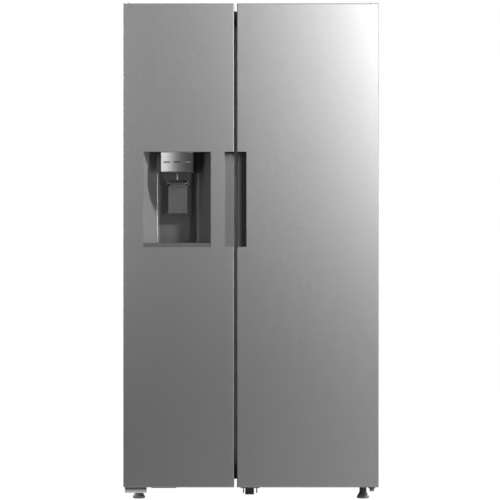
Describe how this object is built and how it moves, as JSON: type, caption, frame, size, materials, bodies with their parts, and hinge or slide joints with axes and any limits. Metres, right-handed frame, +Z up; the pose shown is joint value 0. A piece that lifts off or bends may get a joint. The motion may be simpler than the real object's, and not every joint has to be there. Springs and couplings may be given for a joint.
{
  "type": "side by side refrigerator",
  "caption": "Upright side-by-side refrigerator with brushed steel doors, recessed middle handles, a water and ice dispenser in the freezer door, drawers, shelves and door bins.",
  "frame": {"origin": "middle of the footprint, on the floor under the feet", "axes": "+Z up, the doors face -Y, +X towards the viewer's right (freezer on the -X side)"},
  "size_m": [0.908, 0.8586, 1.782],
  "materials": {
    "case_paint": "fine pebbled silver-grey enamel",
    "bare_steel": "galvanised sheet",
    "stainless": "vertically brushed stainless sheet",
    "foam": "rigid polyurethane foam",
    "liner_white": "glossy vacuum-formed plastic",
    "gasket_grey": "soft magnetic gasket",
    "zinc_steel": "zinc-plated steel",
    "hinge_paint": "grey painted steel",
    "cover_grey": "moulded plastic",
    "cap_grey": "moulded plastic",
    "pocket_light": "satin silver plastic",
    "pocket_dark": "satin dark plastic",
    "cavity_grey": "satin grey plastic",
    "paddle_grey": "satin grey plastic",
    "tray_grey": "satin grey plastic",
    "mark_dark": "inlaid dark touch marks",
    "spout_white": "food-safe plastic",
    "spring_steel": "spring wire",
    "shelf_glass": "toughened glass",
    "shelf_trim": "moulded plastic trim",
    "bin_clear": "clear moulded plastic",
    "bucket_white": "translucent moulded plastic",
    "ice_tray": "coated ice mould",
    "lamp_lens": "frosted lamp lens",
    "fin_aluminium": "aluminium fins and tube",
    "black_enamel": "black enamel",
    "black_plastic": "black moulded plastic",
    "fan_white": "moulded plastic",
    "pan_steel": "galvanised steel",
    "cover_sheet": "moulded rear grille",
    "foot_black": "moulded foot on a steel stem",
    "roller_black": "nylon roller"
  },
  "bodies": {
    "cabinet": {"outer_case": "case_paint", "rear_panel": "bare_steel", "base_pan": "pan_steel", "cabinet_foam": "foam", "freezer_liner": "liner_white", "fridge_liner": "liner_white", "front_mullion": "case_paint", "top_hinges": "zinc_steel", "hinge_covers": "cover_grey", "bottom_hinges": "hinge_paint", "hinge_screws": "zinc_steel", "compressor": "black_enamel", "condenser": "black_enamel", "fan_shroud": "pan_steel", "drain_pan": "black_plastic", "machine_cover": "cover_sheet", "water_valve": "fan_white", "power_inlet": "black_plastic", "evaporator": "fin_aluminium", "evaporator_cover": "liner_white", "air_duct": "liner_white", "glass_shelves": "shelf_glass", "shelf_frames": "shelf_trim", "ice_maker": "ice_tray", "lamps": "lamp_lens", "roller_brackets": "pan_steel"},
    "freezer_door": {"freezer_skin": "stainless", "freezer_door_foam": "foam", "freezer_door_liner": "liner_white", "freezer_bin_frame": "liner_white", "freezer_gasket": "gasket_grey", "freezer_end_caps": "cap_grey", "freezer_handle": "pocket_light", "dispenser_housing": "cavity_grey", "dispenser_head": "stainless", "dispenser_marks": "mark_dark", "dispenser_spouts": "spout_white", "paddle_spring": "spring_steel", "freezer_bins": "bin_clear"},
    "fridge_door": {"fridge_skin": "stainless", "fridge_door_foam": "foam", "fridge_door_liner": "liner_white", "fridge_gasket": "gasket_grey", "fridge_end_caps": "cap_grey", "fridge_handle": "pocket_dark", "fridge_bins": "bin_clear"},
    "paddle": {"dispenser_paddle": "paddle_grey"},
    "drip_tray": {"drip_tray": "tray_grey"},
    "freezer_drawer_upper": {"freezer_drawer_upper": "bin_clear"},
    "freezer_drawer_lower": {"freezer_drawer_lower": "bin_clear"},
    "crisper_upper": {"crisper_upper": "bin_clear"},
    "crisper_lower": {"crisper_lower": "bin_clear"},
    "ice_bucket": {"ice_bucket": "bucket_white"},
    "condenser_fan": {"condenser_fan": "black_plastic"},
    "evaporator_fan": {"evaporator_fan": "fan_white"},
    "dairy_lid": {"dairy_lid": "bin_clear"},
    "foot_left": {"foot_left": "foot_black"},
    "foot_right": {"foot_right": "foot_black"},
    "rear_roller_left": {"rear_roller_left": "roller_black"},
    "rear_roller_right": {"rear_roller_right": "roller_black"}
  },
  "joints": [
    {"name": "freezer_door_hinge", "type": "hinge", "parent": "cabinet", "child": "freezer_door", "pos_m": [-0.432, -0.3787, 0.9], "axis": [0, 0, -1], "range_deg": [0, 130]},
    {"name": "fridge_door_hinge", "type": "hinge", "parent": "cabinet", "child": "fridge_door", "pos_m": [0.432, -0.3787, 0.9], "axis": [0, 0, 1], "range_deg": [0, 130]},
    {"name": "paddle_hinge", "type": "hinge", "parent": "freezer_door", "child": "paddle", "pos_m": [-0.263, -0.3477, 1.135], "axis": [1, 0, 0], "range_deg": [0, 8]},
    {"name": "drip_tray_slide", "type": "slide", "parent": "freezer_door", "child": "drip_tray", "axis": [0, -1, 0], "range_m": [0, 0.06]},
    {"name": "freezer_drawer_upper_slide", "type": "slide", "parent": "cabinet", "child": "freezer_drawer_upper", "axis": [0, -1, 0], "range_m": [0, 0.07]},
    {"name": "freezer_drawer_lower_slide", "type": "slide", "parent": "cabinet", "child": "freezer_drawer_lower", "axis": [0, -1, 0], "range_m": [0, 0.07]},
    {"name": "crisper_upper_slide", "type": "slide", "parent": "cabinet", "child": "crisper_upper", "axis": [0, -1, 0], "range_m": [0, 0.07]},
    {"name": "crisper_lower_slide", "type": "slide", "parent": "cabinet", "child": "crisper_lower", "axis": [0, -1, 0], "range_m": [0, 0.07]},
    {"name": "ice_bucket_slide", "type": "slide", "parent": "cabinet", "child": "ice_bucket", "axis": [0, -1, 0], "range_m": [0, 0.07]},
    {"name": "dairy_lid_hinge", "type": "hinge", "parent": "fridge_door", "child": "dairy_lid", "pos_m": [0.2005, -0.2322, 1.651], "axis": [1, 0, 0], "range_deg": [0, 85]},
    {"name": "condenser_fan_spin", "type": "hinge", "parent": "cabinet", "child": "condenser_fan", "pos_m": [-0.025, 0.2993, 0.194], "axis": [1, 0, 0], "continuous": true},
    {"name": "evaporator_fan_spin", "type": "hinge", "parent": "cabinet", "child": "evaporator_fan", "pos_m": [-0.2395, 0.3313, 1.004], "axis": [0, 1, 0], "continuous": true},
    {"name": "foot_left_turn", "type": "hinge", "parent": "cabinet", "child": "foot_left", "pos_m": [-0.405, -0.2997, 0.03], "axis": [0, 0, 1], "continuous": true},
    {"name": "foot_right_turn", "type": "hinge", "parent": "cabinet", "child": "foot_right", "pos_m": [0.405, -0.2997, 0.03], "axis": [0, 0, 1], "continuous": true},
    {"name": "rear_roller_left_roll", "type": "hinge", "parent": "cabinet", "child": "rear_roller_left", "pos_m": [-0.38, 0.3393, 0.022], "axis": [1, 0, 0], "continuous": true},
    {"name": "rear_roller_right_roll", "type": "hinge", "parent": "cabinet", "child": "rear_roller_right", "pos_m": [0.38, 0.3393, 0.022], "axis": [1, 0, 0], "continuous": true}
  ]
}
